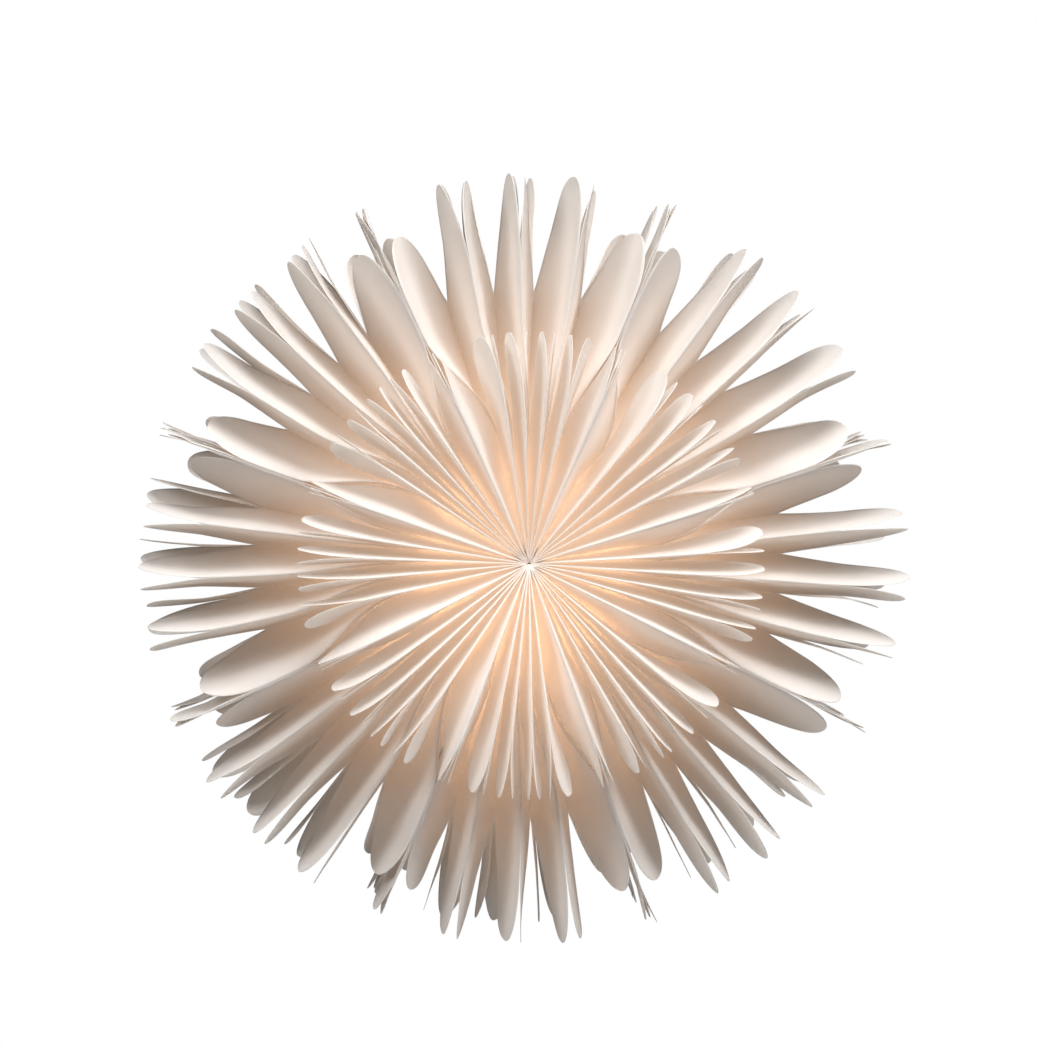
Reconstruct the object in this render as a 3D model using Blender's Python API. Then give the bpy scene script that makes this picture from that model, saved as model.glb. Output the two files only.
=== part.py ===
"""Paper honeycomb ball: a lantern of die-cut paper leaves that fans open round a lamp holder.

Units are metres, +Z is up. The leaves stand round the Y axis like the pages of a book that is
opened full circle: every leaf plane holds the Y axis, and its bearing is measured clockwise from
+Z towards +X. The ball hangs from its lamp holder, whose axis is Z. The origin is the ball's centre.
"""

import math

import bmesh
import bpy
from mathutils import Vector

# Paper ball
BALL_RADIUS = 0.300
PAPER = 0.0005
LEAVES_PER_SECTION = 4
# Bearing, in degrees, at which each section starts, as the ball hangs when it is opened by hand
SECTION_STARTS = (22.5, 71.9, 116.5, 160.7, 202.5, 245.0, 289.7, 335.0)
CLOSURE = SECTION_STARTS[4]

# Leaf outline, as distance from the axis and distance along it
SPINE_RADIUS = 0.010
POLE = (SPINE_RADIUS, 0.118)
INNER_NOTCH = (0.33 * BALL_RADIUS, 0.085)
INNER_TIP = (0.59 * BALL_RADIUS, 0.146)
OUTER_NOTCH = (0.70 * BALL_RADIUS, 0.0)
OUTER_TIP = (BALL_RADIUS, 0.070)
INNER_TIP_WIDTH = 0.030
OUTER_TIP_WIDTH = 0.038
PETAL_BELLY = 0.45
EDGE_STEPS = 5
CAVITY_RADIUS = 0.100
CAVITY_STEPS = 8

# Covers and their closing pads
COVER_OFFSET = 0.0008
PAD_HALF_GAP = 0.0001
PAD_SIZE = (0.030, 0.018)
PAD_THICKNESS = 0.0003
PAD_RADIUS = 0.165
PAD_SIDE = 0.035

# Lamp holder, round the Z axis
BODY_RADIUS = 0.0139
BODY_BORE = 0.0106
BODY_BOTTOM = -0.012
BODY_TOP = 0.040
FLANGE_RADIUS = 0.019
FLANGE_HEIGHT = 0.0024
CAP_TOP = 0.062
CAP_WALL = 0.0022
INLET_RADIUS = 0.0036
GAP = 0.0003

# Carrier plate that spans the ball along Y
PLATE_THICKNESS = 0.0012
PLATE_HOLE = 0.0145
PLATE_RING = 0.0200
ARM_WIDTH = 0.008
TONGUE_WIDTH = 0.005
TONGUE_START = 0.094
PLATE_REACH = 0.114
RING_STEPS = 10

# Shade ring
RING_BORE = BODY_RADIUS + GAP
RING_RADIUS = 0.019
RING_HEIGHT = 0.0066

# Bulb
GLOBE_RADIUS = 0.0225
GLOBE_HEIGHT = -0.045
GLOBE_STEPS = 12
NECK_TOP = -0.0130
NECK_RADIUS = 0.0078
GLASS = 0.0009
CAP_RADIUS = 0.0069
CAP_LENGTH = 0.024
CAP_SHEET = 0.0006
INSULATOR_LENGTH = 0.0036
CONTACT_RADIUS = 0.0024
CONTACT_LENGTH = 0.0022

# Sleeve and contacts of the holder
SHELL_BORE = 0.00725
SHELL_RADIUS = 0.00775
SHELL_BOTTOM = -0.006
SHELL_TOP = 0.0200
INSERT_RADIUS = 0.0102
INSERT_TOP = 0.030
TERMINAL_RADIUS = 0.0048
TERMINAL_TOP = 0.035

# Eyelets that hold the leaves together at the two poles
EYELET_BORE = 0.0040
EYELET_RADIUS = 0.0085
EYELET_FLANGE = 0.0095
EYELET_START = 0.0985
EYELET_END = 0.1150
EYELET_FLANGE_THICKNESS = 0.0010

ROUND = 24


def clear_scene():
    for obj in list(bpy.data.objects):
        bpy.data.objects.remove(obj, do_unlink=True)


def material(name, colour, roughness, metallic=0.0):
    made = bpy.data.materials.new(name)
    made.use_nodes = True
    shader = made.node_tree.nodes["Principled BSDF"]
    shader.inputs["Base Color"].default_value = (*colour, 1.0)
    shader.inputs["Roughness"].default_value = roughness
    shader.inputs["Metallic"].default_value = metallic
    return made


def add_object(name, bm, surface, smooth=False):
    """Makes an object of the bmesh, with its faces turned outwards."""
    bmesh.ops.recalc_face_normals(bm, faces=bm.faces)
    mesh = bpy.data.meshes.new(name)
    bm.to_mesh(mesh)
    bm.free()
    if smooth:
        mesh.shade_smooth()
        mesh.set_sharp_from_angle(angle=math.radians(35))
    own = surface.copy()
    own.name = name
    mesh.materials.append(own)
    obj = bpy.data.objects.new(name, mesh)
    bpy.context.scene.collection.objects.link(obj)
    return obj


def bezier(start, handle_a, handle_b, end, steps):
    """Points of a cubic Bezier curve, without its last one."""
    points = []
    for i in range(steps):
        t = i / steps
        weights = ((1 - t) ** 3, 3 * t * (1 - t) ** 2, 3 * t * t * (1 - t), t ** 3)
        pairs = zip(weights, (start, handle_a, handle_b, end))
        points.append(sum((w * p for w, p in pairs), Vector((0.0, 0.0))))
    return points


def petal(base_a, tip, base_b, tip_width):
    """A petal's edge from one notch, round its tip, to just before the next notch."""
    base_a, tip, base_b = Vector(base_a), Vector(tip), Vector(base_b)
    along = tip - (base_a + base_b) / 2
    across = Vector((-along.y, along.x)).normalized() * tip_width
    if across.dot(base_a - base_b) < 0:
        across.negate()
    belly = along * PETAL_BELLY
    front = bezier(base_a, base_a + belly, tip + across, tip, EDGE_STEPS)
    back = bezier(tip, tip - across, base_b + belly, base_b, EDGE_STEPS)
    return front + back


def leaf_outline():
    """The C-shaped outline of a leaf: four petals outside, the lamp's round cavity inside."""
    half = petal(POLE, INNER_TIP, INNER_NOTCH, INNER_TIP_WIDTH)
    half += petal(INNER_NOTCH, OUTER_TIP, OUTER_NOTCH, OUTER_TIP_WIDTH)
    mirrored = [Vector((p.x, -p.y)) for p in reversed(half)]
    outside = half + [Vector(OUTER_NOTCH)] + mirrored
    first = math.asin(SPINE_RADIUS / CAVITY_RADIUS)
    cavity = []
    for i in range(CAVITY_STEPS + 1):
        turn = math.pi - first - (math.pi - 2 * first) * i / CAVITY_STEPS
        cavity.append(CAVITY_RADIUS * Vector((math.sin(turn), math.cos(turn))))
    return outside + cavity


def plate(outline, low, high, place):
    """A flat plate: the outline swept from low to high, each corner placed by place(a, b, c)."""
    bm = bmesh.new()
    bottom = [bm.verts.new(place(p[0], p[1], low)) for p in outline]
    top = [bm.verts.new(place(p[0], p[1], high)) for p in outline]
    bm.faces.new(bottom)
    bm.faces.new(reversed(top))
    for i in range(len(outline)):
        j = (i + 1) % len(outline)
        bm.faces.new((bottom[i], bottom[j], top[j], top[i]))
    return bm


def on_leaf_plane(radius, along, across):
    return (across, along, radius)


def add_leaf(name, bearing, surface, offset=0.0):
    """A leaf that stands at a bearing round the Y axis, moved off its plane by offset."""
    bm = plate(leaf_outline(), offset - PAPER / 2, offset + PAPER / 2, on_leaf_plane)
    leaf = add_object(name, bm, surface)
    leaf.rotation_euler = (0.0, math.radians(bearing), 0.0)
    return leaf


def circle(radius):
    angles = (2 * math.pi * i / ROUND for i in range(ROUND))
    return [(radius * math.cos(a), radius * math.sin(a)) for a in angles]


def turned(name, profile, surface):
    """A piece turned round the Z axis from a closed profile of (radius, height) points."""
    bm = bmesh.new()
    rings = []
    for radius, height in profile:
        if radius == 0:
            rings.append([bm.verts.new((0, 0, height))] * ROUND)
            continue
        rings.append([bm.verts.new((x, y, height)) for x, y in circle(radius)])
    for k, ring in enumerate(rings):
        following = rings[(k + 1) % len(rings)]
        for i in range(ROUND):
            j = (i + 1) % ROUND
            corners = dict.fromkeys((ring[i], ring[j], following[j], following[i]))
            if len(corners) > 2:
                bm.faces.new(list(corners))
    return add_object(name, bm, surface, smooth=True)


def sleeve(name, bore, radius, low, high, surface):
    return turned(name, [(bore, low), (radius, low), (radius, high), (bore, high)], surface)


def disc(name, radius, low, high, surface):
    return turned(name, [(0, low), (radius, low), (radius, high), (0, high)], surface)


def add_paper_ball(paper, card):
    """Sections round the axis: dividers between them, four leaves in each, covers at the closure."""
    ends = SECTION_STARTS[1:] + (SECTION_STARTS[0] + 360,)
    for section, (start, end) in enumerate(zip(SECTION_STARTS, ends), 1):
        if start != CLOSURE:
            add_leaf(f"divider_{section}", start, card)
        step = (end - start) / (LEAVES_PER_SECTION + 1)
        for leaf in range(1, LEAVES_PER_SECTION + 1):
            add_leaf(f"section_{section}_leaf_{leaf}", start + leaf * step, paper)
    add_leaf("cover_right", CLOSURE, card, -COVER_OFFSET)
    add_leaf("cover_left", CLOSURE, card, COVER_OFFSET)


def add_pads(hook, loop):
    """Two closing pads on the inner face of each cover."""
    length, width = PAD_SIZE
    for middle, word in ((-PAD_SIDE, "front"), (PAD_SIDE, "back")):
        inside, outside = PAD_RADIUS - length / 2, PAD_RADIUS + length / 2
        low, high = middle - width / 2, middle + width / 2
        outline = [(inside, low), (outside, low), (outside, high), (inside, high)]
        near, far = PAD_HALF_GAP, PAD_HALF_GAP + PAD_THICKNESS
        for name, start, end, surface in (
            (f"pad_left_{word}", near, far, hook),
            (f"pad_right_{word}", -far, -near, loop),
        ):
            pad = add_object(name, plate(outline, start, end, on_leaf_plane), surface)
            pad.rotation_euler = (0.0, math.radians(CLOSURE), 0.0)


def add_holder(plastic, ceramic, brass):
    flange_low = PLATE_THICKNESS / 2 + GAP
    flange_high = flange_low + FLANGE_HEIGHT
    turned(
        "holder_body",
        [
            (BODY_BORE, BODY_BOTTOM),
            (BODY_RADIUS, BODY_BOTTOM),
            (BODY_RADIUS, flange_low),
            (FLANGE_RADIUS, flange_low),
            (FLANGE_RADIUS, flange_high),
            (BODY_RADIUS, flange_high + FLANGE_HEIGHT),
            (BODY_RADIUS, BODY_TOP),
            (BODY_BORE, BODY_TOP),
        ],
        plastic,
    )
    cap_low = BODY_TOP + GAP
    shoulder = cap_low + 0.5 * (CAP_TOP - cap_low)
    neck = 0.5 * BODY_RADIUS
    turned(
        "holder_cap",
        [
            (BODY_BORE, cap_low),
            (BODY_RADIUS, cap_low),
            (BODY_RADIUS, shoulder),
            (0.85 * BODY_RADIUS, shoulder + 0.45 * (CAP_TOP - shoulder)),
            (neck, CAP_TOP),
            (INLET_RADIUS, CAP_TOP),
            (INLET_RADIUS, CAP_TOP - 2 * CAP_WALL),
            (BODY_BORE, shoulder),
        ],
        plastic,
    )
    turned(
        "holder_insert",
        [
            (0, SHELL_TOP + GAP),
            (INSERT_RADIUS, SHELL_TOP + GAP),
            (INSERT_RADIUS, INSERT_TOP),
            (TERMINAL_RADIUS, INSERT_TOP),
            (TERMINAL_RADIUS, TERMINAL_TOP),
            (0, TERMINAL_TOP),
        ],
        ceramic,
    )
    sleeve("screw_shell", SHELL_BORE, SHELL_RADIUS, SHELL_BOTTOM, SHELL_TOP, brass)


def add_shade_ring(plastic):
    top = -PLATE_THICKNESS / 2 - GAP
    lip = 0.25 * RING_HEIGHT
    turned(
        "shade_ring",
        [
            (RING_BORE, top - RING_HEIGHT),
            (RING_RADIUS - lip, top - RING_HEIGHT),
            (RING_RADIUS, top - RING_HEIGHT + lip),
            (RING_RADIUS, top),
            (RING_BORE, top),
        ],
        plastic,
    )


def add_carrier(steel):
    """A flat plate with a round eye for the holder and an arm to each pole."""
    half = PLATE_THICKNESS / 2
    arm, tongue = ARM_WIDTH / 2, TONGUE_WIDTH / 2
    start = math.asin(arm / PLATE_RING)
    turns = [start + (math.pi - 2 * start) * i / RING_STEPS for i in range(RING_STEPS + 1)]
    ring = [(PLATE_RING * math.sin(a), PLATE_RING * math.cos(a)) for a in turns]
    low_arm = [(arm, -TONGUE_START), (tongue, -TONGUE_START), (tongue, -PLATE_REACH)]
    high_arm = [(x, -y) for x, y in reversed(low_arm)]
    right = high_arm + ring + low_arm
    outline = right + [(-x, y) for x, y in reversed(right)]
    def flat(x, y, z):
        return (x, y, z)

    eye = plate(outline, -half, half, flat)
    carrier = add_object("carrier_plate", eye, steel)
    hole = plate(circle(PLATE_HOLE), -4 * half, 4 * half, flat)
    cutter = add_object("carrier_hole", hole, steel)
    cutter.hide_render = True
    cutter.display_type = "WIRE"
    cut = carrier.modifiers.new("Hole", "BOOLEAN")
    cut.operation = "DIFFERENCE"
    cut.solver = "EXACT"
    cut.object = cutter


def globe_wall(radius, neck):
    """One side of the globe's glass, from its lowest point to the open neck."""
    neck_angle = math.asin(neck / radius)
    wall = []
    for i in range(GLOBE_STEPS + 1):
        turn = math.pi - (math.pi - neck_angle) * i / GLOBE_STEPS
        wall.append((radius * math.sin(turn) if i else 0, GLOBE_HEIGHT + radius * math.cos(turn)))
    return wall + [(neck, NECK_TOP)]


def add_bulb(glass, brass, black):
    outer = globe_wall(GLOBE_RADIUS, NECK_RADIUS)
    inner = globe_wall(GLOBE_RADIUS - GLASS, NECK_RADIUS - GLASS)
    turned("bulb_globe", outer + inner[::-1], glass)
    cap_low = NECK_TOP + GAP
    cap_high = cap_low + CAP_LENGTH
    turned(
        "bulb_screw_cap",
        [
            (CAP_RADIUS - CAP_SHEET, cap_low),
            (CAP_RADIUS, cap_low),
            (CAP_RADIUS, cap_high),
            (0, cap_high),
            (0, cap_high - CAP_SHEET),
            (CAP_RADIUS - CAP_SHEET, cap_high - CAP_SHEET),
        ],
        brass,
    )
    insulator_low = cap_high + GAP
    insulator_high = insulator_low + INSULATOR_LENGTH
    turned(
        "bulb_insulator",
        [
            (0, insulator_low),
            (CAP_RADIUS, insulator_low),
            (1.3 * CONTACT_RADIUS, insulator_high),
            (0, insulator_high),
        ],
        black,
    )
    disc("bulb_contact", CONTACT_RADIUS, insulator_high + GAP, insulator_high + GAP + CONTACT_LENGTH, brass)
    return insulator_high + GAP + CONTACT_LENGTH


def add_centre_contact(low, brass):
    disc("centre_contact", 1.3 * CONTACT_RADIUS, low, SHELL_TOP, brass)


def add_eyelets(card):
    """A short tube at each pole that the leaves' inner ends are bound round."""
    profile = [
        (EYELET_BORE, EYELET_START),
        (EYELET_FLANGE, EYELET_START),
        (EYELET_FLANGE, EYELET_START + EYELET_FLANGE_THICKNESS),
        (EYELET_RADIUS, EYELET_START + EYELET_FLANGE_THICKNESS),
        (EYELET_RADIUS, EYELET_END),
        (EYELET_BORE, EYELET_END),
    ]
    for name, tilt in (("pole_eyelet_front", 90), ("pole_eyelet_back", -90)):
        eyelet = turned(name, profile, card)
        eyelet.rotation_euler = (math.radians(tilt), 0.0, 0.0)


def main():
    clear_scene()
    paper = material("white_paper", (0.86, 0.82, 0.77), 0.9)
    card = material("white_card", (0.88, 0.84, 0.79), 0.85)
    hook = material("hook_tape", (0.80, 0.79, 0.77), 0.95)
    loop = material("loop_tape", (0.84, 0.83, 0.81), 0.98)
    plastic = material("white_plastic", (0.83, 0.82, 0.80), 0.45)
    ceramic = material("ceramic", (0.88, 0.86, 0.82), 0.35)
    steel = material("steel", (0.62, 0.62, 0.62), 0.35, 1.0)
    brass = material("brass", (0.72, 0.56, 0.30), 0.35, 1.0)
    glass = material("opal_glass", (0.98, 0.86, 0.66), 0.2)
    black = material("black_glass", (0.03, 0.03, 0.03), 0.25)
    add_paper_ball(paper, card)
    add_pads(hook, loop)
    add_holder(plastic, ceramic, brass)
    add_shade_ring(plastic)
    add_carrier(steel)
    contact_top = add_bulb(glass, brass, black)
    add_centre_contact(contact_top + GAP, brass)
    add_eyelets(card)


main()
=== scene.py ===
import math

import bpy
import numpy as np
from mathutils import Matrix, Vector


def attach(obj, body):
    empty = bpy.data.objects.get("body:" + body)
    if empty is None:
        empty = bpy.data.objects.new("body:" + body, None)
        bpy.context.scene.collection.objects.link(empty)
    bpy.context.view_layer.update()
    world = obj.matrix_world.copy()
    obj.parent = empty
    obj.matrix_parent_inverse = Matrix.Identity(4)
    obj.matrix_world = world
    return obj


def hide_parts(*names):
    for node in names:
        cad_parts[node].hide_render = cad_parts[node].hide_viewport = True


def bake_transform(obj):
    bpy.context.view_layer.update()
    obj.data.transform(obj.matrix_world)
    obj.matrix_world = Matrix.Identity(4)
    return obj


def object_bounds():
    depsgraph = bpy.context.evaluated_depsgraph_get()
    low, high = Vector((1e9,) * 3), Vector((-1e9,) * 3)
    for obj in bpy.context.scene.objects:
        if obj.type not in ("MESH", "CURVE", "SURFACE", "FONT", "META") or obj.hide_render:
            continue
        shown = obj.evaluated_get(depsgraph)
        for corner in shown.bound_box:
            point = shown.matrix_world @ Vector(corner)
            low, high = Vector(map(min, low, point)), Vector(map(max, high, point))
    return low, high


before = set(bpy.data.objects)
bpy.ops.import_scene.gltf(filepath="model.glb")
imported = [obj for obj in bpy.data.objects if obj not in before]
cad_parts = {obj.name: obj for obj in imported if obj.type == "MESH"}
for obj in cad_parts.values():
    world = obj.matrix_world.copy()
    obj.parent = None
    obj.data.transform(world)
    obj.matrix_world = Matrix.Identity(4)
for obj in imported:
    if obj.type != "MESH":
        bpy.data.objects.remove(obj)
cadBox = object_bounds()
print("frame loaded")

# the leaf's outline in metres: distance from the ball's axis, distance along the axis
leafShape = {
    "spine": (0.0012, 0.1165),
    "eyeletStep": (0.0100, 0.1155),
    "innerTip": (0.1780, 0.1480),
    "innerNotch": (0.0985, 0.0860),
    "outerTip": (0.2985, 0.0700),
    "outerNotch": (0.2080, 0.0),
    "cavity": 0.0960,
    "freeBefore": 0.02,  # where the fold takes over from the ease, either side of the inner notch
    "freeAfter": 0.04,
    "frontBend": 0.25,  # how rounded the shares below are
    "outerBend": 0.2,
    "cavityTurn": 50.0,  # where the cavity's arc ends, in degrees from the axis
    "legStart": (0.0735, 0.0617),
    "farRun": 0.45,  # share of the equator side's points that lie before the far notch
    "innerFront": ((0.062, 0.139), (0.150, 0.180)),  # the curves' handles
    "innerBack": ((0.128, 0.098), (0.186, 0.118)),
    "outerFront": ((0.150, 0.098), (0.298, 0.112)),
    "outerBack": ((0.232, 0.014), (0.297, 0.028)),
    "innerGlueEnd": 0.1260,
    "outerGlueEnd": 0.2520,
}

# bearings round the axis in degrees, clockwise from the top; shares are parts of one section's width
ballShape = {
    "frontRidges": (0.0, 0.315, 0.470, 0.625, 0.775, 1.0),
    "equatorRidges": (0.0, 0.200, 0.400, 0.600, 0.800, 1.0),
    "frontValleys": (0.240, 0.395, 0.545, 0.700, 0.850),
    "outerValleys": (0.006, 0.285, 0.505, 0.730, 0.994),
    "jitter": 0.35,
    "twist": 3.3,  # how far the back half of a section leans clockwise at its middle
    "twistJitter": 0.7,
    "seed": 11,
}

paperSheet = {
    "thickness": 0.00036,
    "glueGap": 0.000185,
    "rows": 44,
    "columns": 12,
    "outerRows": 36,
    "outerColumns": 13,
}


def newMesh(name, points, faces, smooth=True):
    mesh = bpy.data.meshes.new(name)
    mesh.from_pydata(points.tolist(), [], faces.tolist() if hasattr(faces, "tolist") else faces)
    if smooth:
        mesh.polygons.foreach_set("use_smooth", np.ones(len(mesh.polygons), dtype=bool))
    mesh.update()
    piece = bpy.data.objects.new(name, mesh)
    bpy.context.scene.collection.objects.link(piece)
    return piece


# cubic Bezier curve: (1-t)^3 a + 3 t (1-t)^2 b + 3 t^2 (1-t) c + t^3 d
def bezier(a, b, c, d, t):
    t = t[:, None]
    a, b, c, d = (np.asarray(p, float) for p in (a, b, c, d))
    return (1 - t) ** 3 * a + 3 * t * (1 - t) ** 2 * b + 3 * t ** 2 * (1 - t) * c + t ** 3 * d


def shareOf(x, low, high):
    return np.clip((x - low) / (high - low), 0, 1)


# smooth step: t t (3 - 2 t)
def smoothRise(x, low, high):
    t = shareOf(x, low, high)
    return t * t * (3 - 2 * t)


# the four edges of the front half of a leaf, each as n points from the axis outwards
def leafEdges(innerCount, outerCount):
    s = leafShape
    spine, notch = np.array(s["spine"]), np.array(s["innerNotch"])
    tip, farTip, farNotch = (np.array(s[k]) for k in ("innerTip", "outerTip", "outerNotch"))
    step = np.array(s["eyeletStep"])
    t = np.linspace(0, 1, innerCount)
    # front edge of the inner petal: rises from the pole, rounds over at the tip
    front = bezier(spine, *s["innerFront"], tip, t)
    # its lower side: past the eyelet, along the cavity's arc, out to the notch, then the petal's back edge
    first, last = math.asin(step[0] / s["cavity"]), math.radians(s["cavityTurn"])
    arcCount = legCount = innerCount // 4
    turn = np.linspace(first, last, arcCount - 2, endpoint=False)
    arc = s["cavity"] * np.stack([np.sin(turn), np.cos(turn)], 1)
    arc = np.concatenate([[[spine[0], step[1]], step], arc])
    corner = s["cavity"] * np.array([math.sin(last), math.cos(last)])
    leg = corner + (notch - corner) * np.linspace(0, 1, legCount, endpoint=False)[:, None]
    backCount = innerCount - arcCount - legCount
    back = bezier(notch, *s["innerBack"], tip, np.linspace(0, 1, backCount))
    lower = np.concatenate([arc, leg, back])
    # upper side of the outer part: from the cavity to the notch, then the outer petal's front edge
    edge = bezier(notch, *s["outerFront"], farTip, np.linspace(0, 1, outerCount - legCount))
    upper = np.concatenate([leg, edge])
    # equator side: from the cavity to the far notch, then the outer petal's back edge
    runCount = int(outerCount * s["farRun"])
    along = np.linspace(s["cavity"], farNotch[0], runCount, endpoint=False)
    run = np.stack([along, np.zeros(runCount)], 1)
    rim = bezier(farNotch, *s["outerBack"], farTip, np.linspace(0, 1, outerCount - runCount))
    equator = np.concatenate([run, rim])
    return front, lower, upper, equator


print("shapes ready")


# running maximum, so that an edge which falls away past its highest point leaves its glue line there
def risingEdge(curve):
    return curve[:, 0], np.maximum.accumulate(curve[:, 1])


# one sheet's net on the flat leaf: points (distance from axis, distance along axis) and quads or triangles
def leafNet():
    cols, outerCols = paperSheet["columns"], paperSheet["outerColumns"]
    front, lower, upper, equator = leafEdges(paperSheet["rows"], paperSheet["outerRows"])
    patches = []
    for near, far, count in ((front, lower, cols), (upper, equator, outerCols)):
        across = np.linspace(0, 1, count)[None, :, None]
        patches.append(near[:, None] * (1 - across) + far[:, None] * across)
    patches += [patch[:, ::-1] * np.array([1.0, -1.0]) for patch in patches]
    points, faces, start = [], [], 0
    for patch in patches:
        rows, count = patch.shape[:2]
        index = start + np.arange(rows * count).reshape(rows, count)
        quads = np.stack([index[:-1, :-1], index[1:, :-1], index[1:, 1:], index[:-1, 1:]], -1)
        points.append(patch.reshape(-1, 2))
        faces.append(quads.reshape(-1, 4))
        start += rows * count
    points, faces = np.concatenate(points), np.concatenate(faces)
    _, first, same = np.unique(np.round(points, 6), axis=0, return_index=True, return_inverse=True)
    faces = same.reshape(-1)[faces]
    polygons = [list(dict.fromkeys(face)) for face in faces.tolist()]
    polygons = [face for face in polygons if len(face) > 2]
    return points[first], polygons, front, upper


flatPoints, flatFaces, frontCurve, upperCurve = leafNet()
print("leaf net:", len(flatPoints), "points")


# how far across from its ridge to its valley each point of a sheet lies: 0 on the ridge, 1 in the valley.
# From front edge to cavity it is the share of the way down, mixed with that share's sine. From the equator to
# the outer petal's front edge it is the share of the way up, mixed with one minus that share's cosine
def ridgeToValley(points):
    s = leafShape
    rho, y = points[:, 0], np.abs(points[:, 1])
    top = np.interp(rho, *risingEdge(frontCurve))
    notch = s["innerNotch"]
    held = np.minimum(rho, notch[0])
    arc = np.sqrt(np.maximum(s["cavity"] ** 2 - held ** 2, 0))
    arcEnd = s["cavity"] * math.sin(math.radians(s["cavityTurn"]))
    legFrom, legLow = s["legStart"]
    legShare = np.clip((held - arcEnd) / (notch[0] - legFrom), 0, 1)
    deep = np.where(legShare > 0, legLow + (notch[1] - legLow) * legShare, arc)
    depth = np.interp(held, *risingEdge(frontCurve)) - deep
    down = np.clip((top - y) / depth, 0, 1)
    bend = s["frontBend"]
    frontShare = bend * np.sin(down * math.pi / 2) + (1 - bend) * down
    edge = np.interp(rho, *risingEdge(upperCurve))
    up = np.clip(y / edge, 0, 1)
    bend = s["outerBend"]
    fold = bend * (1 - np.cos(up * math.pi / 2)) + (1 - bend) * up
    ease = smoothRise(up, 0, 1)
    free = smoothRise(rho, notch[0] - s["freeBefore"], notch[0] + s["freeAfter"])
    outerShare = ease * (1 - free) + fold * free
    isFront = y > np.interp(rho, upperCurve[:, 0], upperCurve[:, 1]) + 1e-5
    isFront |= rho < upperCurve[0, 0]
    return np.where(isFront, frontShare, outerShare), isFront


valleyShare, onFront = ridgeToValley(flatPoints)
random = np.random.default_rng(ballShape["seed"])

# the bodies on both sides of each section, with the bearings that they stand at
sectionBodies = (
    (("right_fan_1", 22.5), ("right_fan_2", 71.9)),
    (("right_fan_2", 71.9), ("right_fan_3", 116.5)),
    (("right_fan_3", 116.5), ("right_fan_4", 160.7)),
    (("right_fan_4", 160.7), ("right_fan_5", 202.5)),
    (("left_fan_4", 202.5), ("left_fan_3", 245.0)),
    (("left_fan_3", 245.0), ("left_fan_2", 289.7)),
    (("left_fan_2", 289.7), ("left_fan_1", 335.0)),
    (("left_fan_1", 335.0), ("lamp_holder", 360.0), ("right_fan_1", 382.5)),
)

petalShape = {
    "innerSpread": (0.2, 1.6),
    "outerSpread": (0.2, 1.0),
    "innerClosing": 0.42,  # how far a free inner petal closes on its ridge by its tip
    "outerClosing": 0.30,  # how far a free outer petal closes on its valley crease by its tip
    "wideClosing": 0.12,  # the same for the wide petals beside the covers
    "wideReach": 0.905,
    "reachVariation": 0.02,
    "curl": 0.6,
    "ripple": 0.12,
    "waves": (70, 60, 45),  # the ripple's waves along the radius, the axis and both, in radians a metre
    "lineTurn": (0.10, 0.19),  # where the valley line goes over from its front to its outer bearing
    "coverVariation": 0.03,
    "fullReach": 1.008,
}


# bearings of every crease of one section, with a little irregularity that neighbouring sheets share
def creaseBearings(start, end):
    made = {}
    for half in ("near", "far"):
        for key in ("frontRidges", "equatorRidges", "frontValleys", "outerValleys"):
            shares = np.array(ballShape[key])
            bearings = start + (end - start) * shares
            shake = random.normal(0, ballShape["jitter"], len(shares))
            if "Ridges" in key:
                shake[[0, -1]] = 0
            if key == "outerValleys":
                shake[[0, -1]] *= 0.1
            if half == "far":
                lean = ballShape["twist"] + random.normal(0, ballShape["twistJitter"], len(shares))
                shake += lean * np.sin(math.pi * shares)
            made[half, key] = bearings + shake
    made["far", "equatorRidges"] = made["near", "equatorRidges"]
    return made


# share of the way along a petal's free part, quick at first: 1 - (1 - t)^2
def freeOf(rho, notch, tip):
    return 1 - (1 - shareOf(rho, notch[0], tip[0])) ** 2


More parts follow.
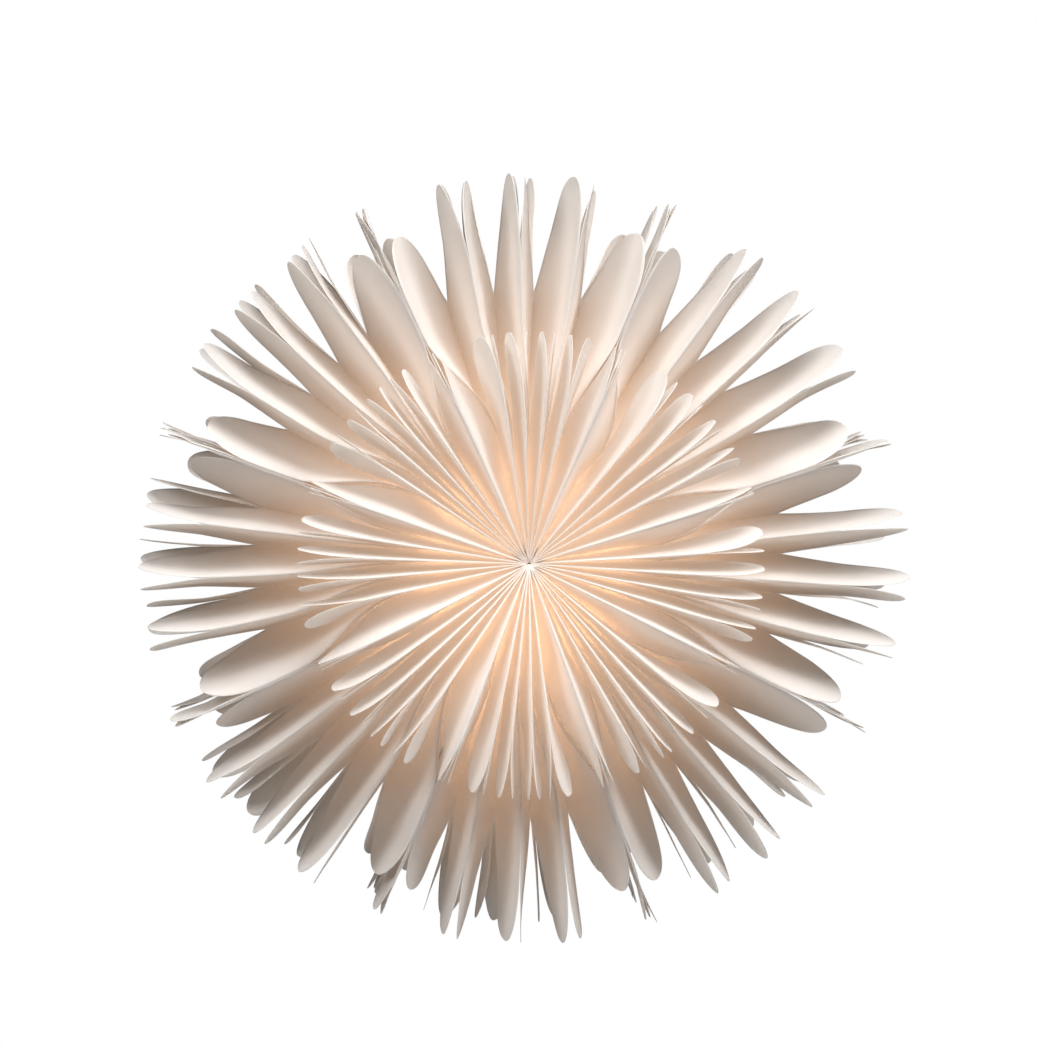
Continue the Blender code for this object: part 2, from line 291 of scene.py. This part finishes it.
# a sheet in space. Its bearing runs from ridge to valley with the share above. Past the glue's end each half
# petal turns away from its partner by spread * share of the way to the tip, to the power 1.5 or 1.2
def sheetPoints(creases, number, flatCover=None):
    s, p = leafShape, petalShape
    rho, y = flatPoints[:, 0].copy(), flatPoints[:, 1]
    gap = paperSheet["glueGap"]
    if flatCover is not None:
        bearing, side = flatCover
        turn = np.full(len(rho), math.radians(bearing))
        sideways = np.full(len(rho), side * gap)
        reach = 1 - random.uniform(0, p["coverVariation"])
    else:
        ridge, valley = number // 2, (number - 1) // 2
        side = 1 if number % 2 else -1
        outward = smoothRise(rho, *p["lineTurn"])
        bearing = np.zeros(len(rho))
        for half, here in (("near", y < 0), ("far", y >= 0)):
            frontRidge = creases[half, "frontRidges"][ridge]
            equatorRidge = creases[half, "equatorRidges"][ridge]
            frontValley = creases[half, "frontValleys"][valley]
            outerValley = creases[half, "outerValleys"][valley]
            valleyLine = frontValley + (outerValley - frontValley) * outward
            ridgeLine = np.where(onFront, frontRidge, equatorRidge)
            closing = p["wideClosing"] if number in (1, 10) else p["innerClosing"]
            closed = closing * freeOf(rho, s["innerNotch"], s["innerTip"])
            share = np.where(onFront, valleyShare * (1 - closed), 0)
            closing = p["wideClosing"] if number in (2, 9) else p["outerClosing"]
            closed = closing * freeOf(rho, s["outerNotch"], s["outerTip"])
            opened = (1 - valleyShare) * (1 - closed)
            share = np.where(onFront, share, 1 - opened)
            value = ridgeLine + (valleyLine - ridgeLine) * share
            spread = random.uniform(*p["innerSpread"])
            past = shareOf(rho, s["innerGlueEnd"], s["innerTip"][0])
            value += np.where(onFront, side * spread * past ** 1.5, 0)
            spread = random.uniform(*p["outerSpread"])
            past = shareOf(rho, s["outerGlueEnd"], s["outerTip"][0])
            value -= np.where(onFront, 0, side * spread * past ** 1.2)
            curl = random.normal(0, p["curl"])
            free = shareOf(rho, s["outerNotch"][0], s["outerTip"][0])
            value += np.where(onFront, 0, curl * free ** 2 * (1 - valleyShare))
            bearing = np.where(here, value, bearing)
        wave = random.uniform(0, 2 * math.pi, 3)
        rates = p["waves"]
        ripple = np.sin(rho * rates[0] + wave[0]) + np.sin(y * rates[1] + wave[1])
        ripple = ripple + np.sin((rho + y) * rates[2] + wave[2])
        bearing += p["ripple"] * ripple * 4 * valleyShare * (1 - valleyShare)
        turn = np.radians(bearing)
        sideways = side * gap * (1 - 2 * valleyShare)
        reach = p["fullReach"] - random.uniform(0, p["reachVariation"])
        if number in (2, 9):
            reach *= p["wideReach"]
    free = shareOf(rho, s["outerNotch"][0], s["outerTip"][0])
    rho += free * (reach - 1) * s["outerTip"][0] * np.where(onFront, 0, 1)
    x = rho * np.sin(turn) + sideways * np.cos(turn)
    z = rho * np.cos(turn) - sideways * np.sin(turn)
    return np.stack([x, y, z], 1), float(np.degrees(turn).mean())


# bakes the sheet's transform into its mesh
def foldWith(piece, bearing, near, far):
    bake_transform(piece)


def addThickness(piece):
    solid = piece.modifiers.new("Thickness", "SOLIDIFY")
    solid.thickness = paperSheet["thickness"]
    solid.offset = 0.0
    solid.use_rim = True
    solid.use_even_offset = False
    # the rim, the paper's cut edge, takes the second, paler paper: a painted highlight along the edges
    solid.material_offset_rim = 1


def addSheet(name, points):
    piece = newMesh(name, points, flatFaces)
    layer = piece.data.uv_layers.new(name="leafMap")
    corners = np.empty(len(piece.data.loops), np.int32)
    piece.data.loops.foreach_get("vertex_index", corners)
    places = flatPoints[corners] + np.array([0.0, 0.5])
    layer.data.foreach_set("uv", places.astype(np.float32).ravel())
    piece.data.materials.append(paper)
    piece.data.materials.append(highlightEdgePaper)
    addThickness(piece)
    return piece


def noiseNode(tree, vector, scale, detail=3.0, roughness=0.6):
    node = tree.nodes.new("ShaderNodeTexNoise")
    node.inputs["Scale"].default_value = scale
    node.inputs["Detail"].default_value = detail
    node.inputs["Roughness"].default_value = roughness
    tree.links.new(vector, node.inputs["Vector"])
    return node


def newMaterial(name):
    material = bpy.data.materials.new(name)
    material.use_nodes = True
    return material, material.node_tree, material.node_tree.nodes["Principled BSDF"]


paperLook = {
    "light": (0.965, 0.948, 0.938),
    "dark": (0.942, 0.920, 0.907),
    # paler tone for the cut edges, a painted highlight
    "cutHighlightTone": (0.995, 0.985, 0.975),
    "fibreScale": 900.0,
    "cloudScale": 18.0,
    "roughness": 0.85,
    "passes": 0.42,  # share of the light that goes on through each face of the paper
    "passedTint": (0.995, 0.955, 0.90),
    # painted glow of the paper: emission in place of the bulb's light shining through the layers
    "paintedGlowColour": (1.0, 0.72, 0.54),
    "paintedGlowStrength": 0.36,
    "paintedGlowCentre": (0.0, 0.0, 0.010),
    "paintedGlowReach": 0.35,
    "bump": 0.12,
    "bumpDepth": 0.00008,
}


def makePaper(name, light, dark):
    look = paperLook
    material, tree, shader = newMaterial(name)
    place = tree.nodes.new("ShaderNodeTexCoord").outputs["Object"]
    cloud = noiseNode(tree, place, look["cloudScale"])
    fibre = noiseNode(tree, place, look["fibreScale"], 4.0, 0.7)
    mixed = tree.nodes.new("ShaderNodeMath")
    mixed.operation = "MULTIPLY_ADD"
    mixed.inputs[1].default_value = 0.45
    tree.links.new(fibre.outputs["Fac"], mixed.inputs[0])
    tree.links.new(cloud.outputs["Fac"], mixed.inputs[2])
    ramp = tree.nodes.new("ShaderNodeValToRGB")
    ramp.color_ramp.elements[0].position = 0.45
    ramp.color_ramp.elements[0].color = (*dark, 1)
    ramp.color_ramp.elements[1].position = 0.95
    ramp.color_ramp.elements[1].color = (*light, 1)
    tree.links.new(mixed.outputs["Value"], ramp.inputs["Fac"])
    tree.links.new(ramp.outputs["Color"], shader.inputs["Base Color"])
    bump = tree.nodes.new("ShaderNodeBump")
    bump.inputs["Strength"].default_value = look["bump"]
    bump.inputs["Distance"].default_value = look["bumpDepth"]
    tree.links.new(fibre.outputs["Fac"], bump.inputs["Height"])
    tree.links.new(bump.outputs["Normal"], shader.inputs["Normal"])
    shader.inputs["Roughness"].default_value = look["roughness"]
    shader.inputs["Specular IOR Level"].default_value = 0.25
    # painted glow: emission standing in for the lamp light that the layers pass on to each other, strength *
    # (1 - distance from the glow centre by the bulb / reach)^2
    away = tree.nodes.new("ShaderNodeVectorMath")
    away.operation = "DISTANCE"
    away.inputs[1].default_value = look["paintedGlowCentre"]
    tree.links.new(place, away.inputs[0])
    fade = tree.nodes.new("ShaderNodeMapRange")
    fade.inputs["From Min"].default_value = 0.0
    fade.inputs["From Max"].default_value = look["paintedGlowReach"]
    fade.inputs["To Min"].default_value = 1.0
    fade.inputs["To Max"].default_value = 0.0
    tree.links.new(away.outputs["Value"], fade.inputs["Value"])
    squared = tree.nodes.new("ShaderNodeMath")
    squared.operation = "POWER"
    squared.inputs[1].default_value = 2.0
    tree.links.new(fade.outputs["Result"], squared.inputs[0])
    scaled = tree.nodes.new("ShaderNodeMath")
    scaled.operation = "MULTIPLY"
    scaled.inputs[1].default_value = look["paintedGlowStrength"]
    tree.links.new(squared.outputs["Value"], scaled.inputs[0])
    shader.inputs["Emission Color"].default_value = (*look["paintedGlowColour"], 1)
    tree.links.new(scaled.outputs["Value"], shader.inputs["Emission Strength"])
    through = tree.nodes.new("ShaderNodeBsdfTranslucent")
    through.inputs["Color"].default_value = (*look["passedTint"], 1)
    tree.links.new(bump.outputs["Normal"], through.inputs["Normal"])
    both = tree.nodes.new("ShaderNodeMixShader")
    both.inputs[0].default_value = look["passes"]
    tree.links.new(shader.outputs[0], both.inputs[1])
    tree.links.new(through.outputs[0], both.inputs[2])
    tree.links.new(both.outputs[0], tree.nodes["Material Output"].inputs["Surface"])
    return material


paper = makePaper("warmWhitePaper", paperLook["light"], paperLook["dark"])
# a paler copy of the paper for the cut edges, a painted highlight that shows them as bright thin lines
highlightEdgePaper = makePaper("paperEdgePaintedHighlight", paperLook["cutHighlightTone"], paperLook["light"])
sheetCount = 0
for section, bodies in enumerate(sectionBodies, 1):
    start, end = bodies[0][1], bodies[-1][1]
    creases = creaseBearings(start, end)
    for number in range(1, 11):
        points, bearing = sheetPoints(creases, number)
        piece = addSheet(f"section{section}_sheet{number:02d}", points)
        if 2 <= number <= 9:
            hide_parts(f"section_{section}_leaf_{number // 2}")
        if len(bodies) == 2:
            foldWith(piece, bearing, *bodies)
        elif number <= 5:
            foldWith(piece, bearing, bodies[0], bodies[1])
        else:
            foldWith(piece, bearing, bodies[1], bodies[2])
        sheetCount += 1
    for side, (body, bearing) in ((1, bodies[0]), (-1, bodies[-1])):
        points, _ = sheetPoints(creases, 0, (bearing, side))
        word = "start" if side > 0 else "end"
        piece = addSheet(f"section{section}_cover_{word}", points)
        node = f"divider_{section if side > 0 else section % 8 + 1}"
        if section == 4 and side < 0:
            node = "cover_right"
        if section == 5 and side > 0:
            node = "cover_left"
        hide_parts(node)
        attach(piece, body)
        sheetCount += 1
print("paper ball:", sheetCount, "sheets")

bulbLook = {"colour": (1.0, 0.52, 0.22), "strength": 85.0}


def makeBulbGlass():
    material, tree, shader = newMaterial("opalGlassLit")
    place = tree.nodes.new("ShaderNodeTexCoord").outputs["Object"]
    cloud = noiseNode(tree, place, 60.0)
    ramp = tree.nodes.new("ShaderNodeValToRGB")
    ramp.color_ramp.elements[0].color = (0.95, 0.88, 0.76, 1)
    ramp.color_ramp.elements[1].color = (1.0, 0.95, 0.86, 1)
    tree.links.new(cloud.outputs["Fac"], ramp.inputs["Fac"])
    tree.links.new(ramp.outputs["Color"], shader.inputs["Base Color"])
    shader.inputs["Roughness"].default_value = 0.25
    shader.inputs["Emission Color"].default_value = (*bulbLook["colour"], 1)
    shader.inputs["Emission Strength"].default_value = bulbLook["strength"]
    return material


# a plain finish with clouds of a second tone and a fine bump: mixes two colours by noise
def makeFinish(name, light, dark, roughness, metallic=0.0, scale=80.0, bump=0.1, depth=0.0001):
    material, tree, shader = newMaterial(name)
    place = tree.nodes.new("ShaderNodeTexCoord").outputs["Object"]
    cloud = noiseNode(tree, place, scale)
    fine = noiseNode(tree, place, scale * 12, 2.0)
    ramp = tree.nodes.new("ShaderNodeValToRGB")
    ramp.color_ramp.elements[0].position = 0.3
    ramp.color_ramp.elements[0].color = (*dark, 1)
    ramp.color_ramp.elements[1].position = 0.7
    ramp.color_ramp.elements[1].color = (*light, 1)
    tree.links.new(cloud.outputs["Fac"], ramp.inputs["Fac"])
    tree.links.new(ramp.outputs["Color"], shader.inputs["Base Color"])
    spread = tree.nodes.new("ShaderNodeMapRange")
    spread.inputs["To Min"].default_value = roughness * 0.85
    spread.inputs["To Max"].default_value = min(roughness * 1.15, 1.0)
    tree.links.new(fine.outputs["Fac"], spread.inputs["Value"])
    tree.links.new(spread.outputs["Result"], shader.inputs["Roughness"])
    bumpNode = tree.nodes.new("ShaderNodeBump")
    bumpNode.inputs["Strength"].default_value = bump
    bumpNode.inputs["Distance"].default_value = depth
    tree.links.new(fine.outputs["Fac"], bumpNode.inputs["Height"])
    tree.links.new(bumpNode.outputs["Normal"], shader.inputs["Normal"])
    shader.inputs["Metallic"].default_value = metallic
    return material


def dress(material, *nodes):
    for node in nodes:
        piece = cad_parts[node]
        if not piece.data.materials:
            piece.data.materials.append(material)
        for place in range(len(piece.material_slots)):
            piece.material_slots[place].material = material


plastic = makeFinish("mouldedPlastic", (0.84, 0.83, 0.81), (0.80, 0.79, 0.77), 0.42)
card = makeFinish("woundCard", (0.90, 0.87, 0.82), (0.84, 0.80, 0.75), 0.85, scale=200.0, bump=0.3)
steel = makeFinish("stampedSteel", (0.66, 0.66, 0.66), (0.55, 0.55, 0.56), 0.32, 1.0, 120.0)
brass = makeFinish("platedBrass", (0.78, 0.62, 0.34), (0.62, 0.47, 0.22), 0.30, 1.0, 120.0)
ceramic = makeFinish("glazedCeramic", (0.90, 0.88, 0.84), (0.84, 0.82, 0.78), 0.30)
blackGlass = makeFinish("blackGlass", (0.030, 0.030, 0.032), (0.015, 0.015, 0.017), 0.22)
hookTape = makeFinish(
    "hookTape", (0.82, 0.81, 0.79), (0.72, 0.71, 0.69), 0.95, scale=400.0, bump=0.8, depth=0.0004
)
loopTape = makeFinish(
    "loopTape", (0.86, 0.85, 0.83), (0.76, 0.75, 0.73), 0.98, scale=300.0, bump=0.6, depth=0.0004
)
dress(plastic, "holder_cap", "holder_body", "shade_ring")
dress(card, "pole_eyelet_front", "pole_eyelet_back")
dress(steel, "carrier_plate")
dress(brass, "screw_shell", "centre_contact", "bulb_screw_cap", "bulb_contact")
dress(ceramic, "holder_insert")
dress(blackGlass, "bulb_insulator")
dress(hookTape, "pad_left_front", "pad_left_back")
dress(loopTape, "pad_right_front", "pad_right_back")
dress(makeBulbGlass(), "bulb_globe")
print("finishes set")


floorSetup = {
    "drop": 1.10,
    "halfSize": 1.5,
    "colour": (0.86, 0.86, 0.85),
    "roughness": 0.8,
}


def addFloor():
    low = cadBox[0][2] - floorSetup["drop"]
    half = floorSetup["halfSize"]
    corners = np.array(
        [[-half, -half, low], [half, -half, low], [half, half, low], [-half, half, low]]
    )
    floor = newMesh("floor", corners, [[0, 1, 2, 3]], smooth=False)
    material, _, shader = newMaterial("paleFloor")
    shader.inputs["Base Color"].default_value = (*floorSetup["colour"], 1)
    shader.inputs["Roughness"].default_value = floorSetup["roughness"]
    floor.data.materials.append(material)


lightSetup = {
    "skyColour": (1.0, 0.985, 0.97),
    "skyStrength": 0.05,
    "keyPower": 84.0,
    "keySize": 1.8,
    "keyPlace": (2.5, -2.5, 2.0),
    "fillPower": 68.0,
    "fillSize": 1.8,
    "fillPlace": (-2.5, -2.6, 1.8),
    "topPower": 94.0,
    "topSize": 2.0,
    "topPlace": (0.2, -1.9, 2.9),
}


def addAreaLight(name, place, size, power):
    light = bpy.data.lights.new(name, "AREA")
    light.energy = power
    light.size = size
    lamp = bpy.data.objects.new(name, light)
    bpy.context.scene.collection.objects.link(lamp)
    lamp.location = place
    lamp.rotation_mode = "QUATERNION"
    lamp.rotation_quaternion = (-lamp.location).to_track_quat("-Z", "Y")


# the sky is white to the camera and softer as light
def makeWorld():
    world = bpy.data.worlds.new("studio")
    bpy.context.scene.world = world
    world.use_nodes = True
    tree = world.node_tree
    tree.nodes.clear()
    seen, lit, mixed = (tree.nodes.new(kind) for kind in
                        ("ShaderNodeBackground", "ShaderNodeBackground", "ShaderNodeMixShader"))
    seen.inputs["Color"].default_value = (1, 1, 1, 1)
    seen.inputs["Strength"].default_value = 1.0
    lit.inputs["Color"].default_value = (*lightSetup["skyColour"], 1)
    lit.inputs["Strength"].default_value = lightSetup["skyStrength"]
    path = tree.nodes.new("ShaderNodeLightPath")
    output = tree.nodes.new("ShaderNodeOutputWorld")
    tree.links.new(path.outputs["Is Camera Ray"], mixed.inputs[0])
    tree.links.new(lit.outputs[0], mixed.inputs[1])
    tree.links.new(seen.outputs[0], mixed.inputs[2])
    tree.links.new(mixed.outputs[0], output.inputs[0])


# how the camera stands: turned and raised in degrees, distance in metres
cameraSetup = {
    "turn": -3.8,
    "raise": 2.8,
    "distance": 4.2,
    "focal": 183.0,
    "aimX": 0.0000,
    "aimZ": 0.0250,
}


def addCamera():
    c = cameraSetup
    data = bpy.data.cameras.new("camera")
    data.lens = c["focal"]
    data.clip_end = 50
    camera = bpy.data.objects.new("camera", data)
    bpy.context.scene.collection.objects.link(camera)
    turn, rise = math.radians(c["turn"]), math.radians(c["raise"])
    out = c["distance"]
    aim = np.array([c["aimX"], 0.0, c["aimZ"]])
    flat = math.cos(rise)
    place = out * np.array([math.sin(turn) * flat, -math.cos(turn) * flat, math.sin(rise)])
    camera.location = tuple(place + aim)
    camera.rotation_euler = (math.radians(90) - rise, 0, turn)
    bpy.context.scene.camera = camera


addFloor()
for which in ("key", "fill", "top"):
    place, size, power = (lightSetup[which + word] for word in ("Place", "Size", "Power"))
    addAreaLight(f"{which}Light", place, size, power)
makeWorld()
addCamera()
bpy.context.scene.view_settings.view_transform = "Standard"
print("camera and lights set")
